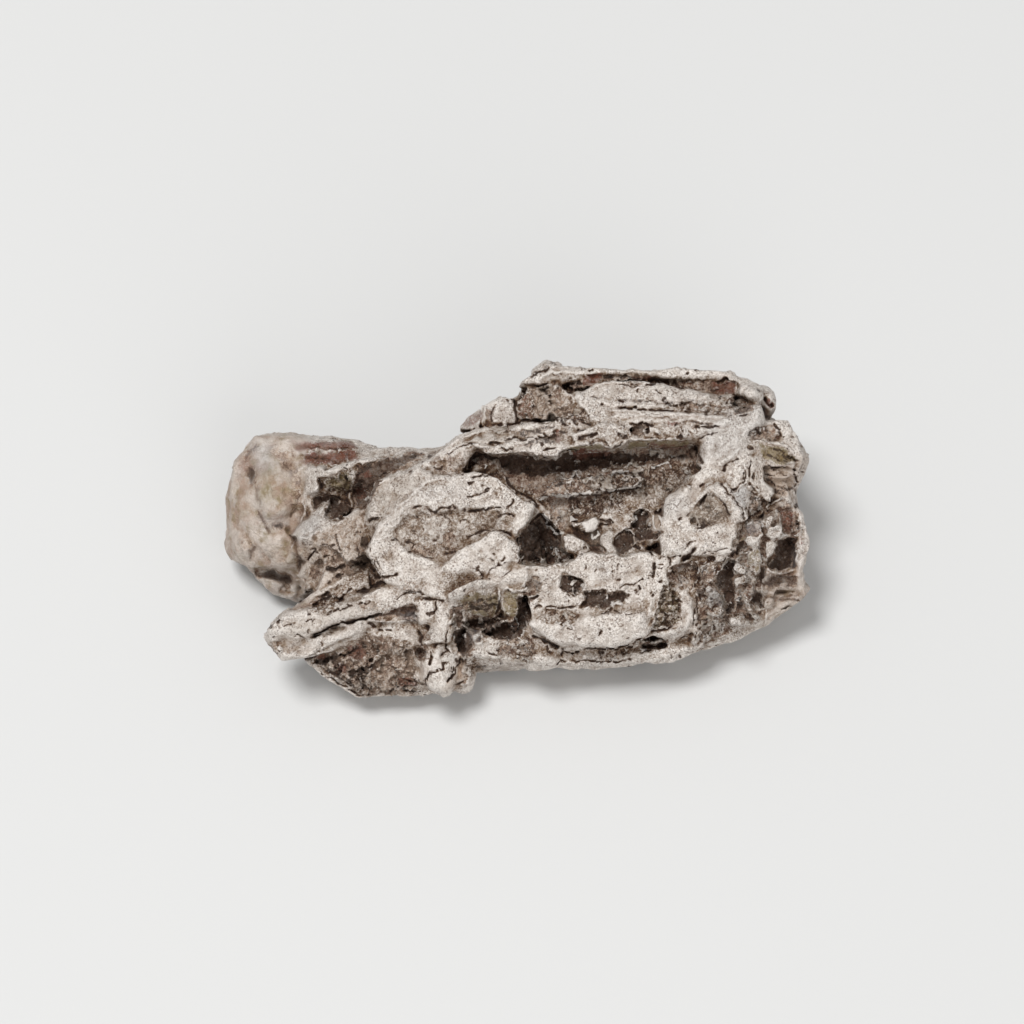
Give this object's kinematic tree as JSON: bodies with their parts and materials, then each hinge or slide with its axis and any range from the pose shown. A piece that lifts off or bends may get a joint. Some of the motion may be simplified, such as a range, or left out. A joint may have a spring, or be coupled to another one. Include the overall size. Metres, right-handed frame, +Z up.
{
  "type": "iron meteorite",
  "caption": "Small rough iron meteorite nugget of stepped, torn metal plates with pits and hollows, lying on a flat patch of its underside.",
  "frame": {"origin": "under the middle of the object's box, on the plane that it rests on", "axes": "+X along the length, from the round lobe to the blocky end; +Z up; the show face looks up and towards -Y"},
  "size_m": [0.036, 0.02, 0.0129],
  "materials": {
    "weathered_iron": "matt, pale warm grey weathered nickel-iron with dark brown and red-brown oxide in its hollows"
  },
  "bodies": {
    "root": {"meteorite": "weathered_iron"}
  },
  "joints": []
}
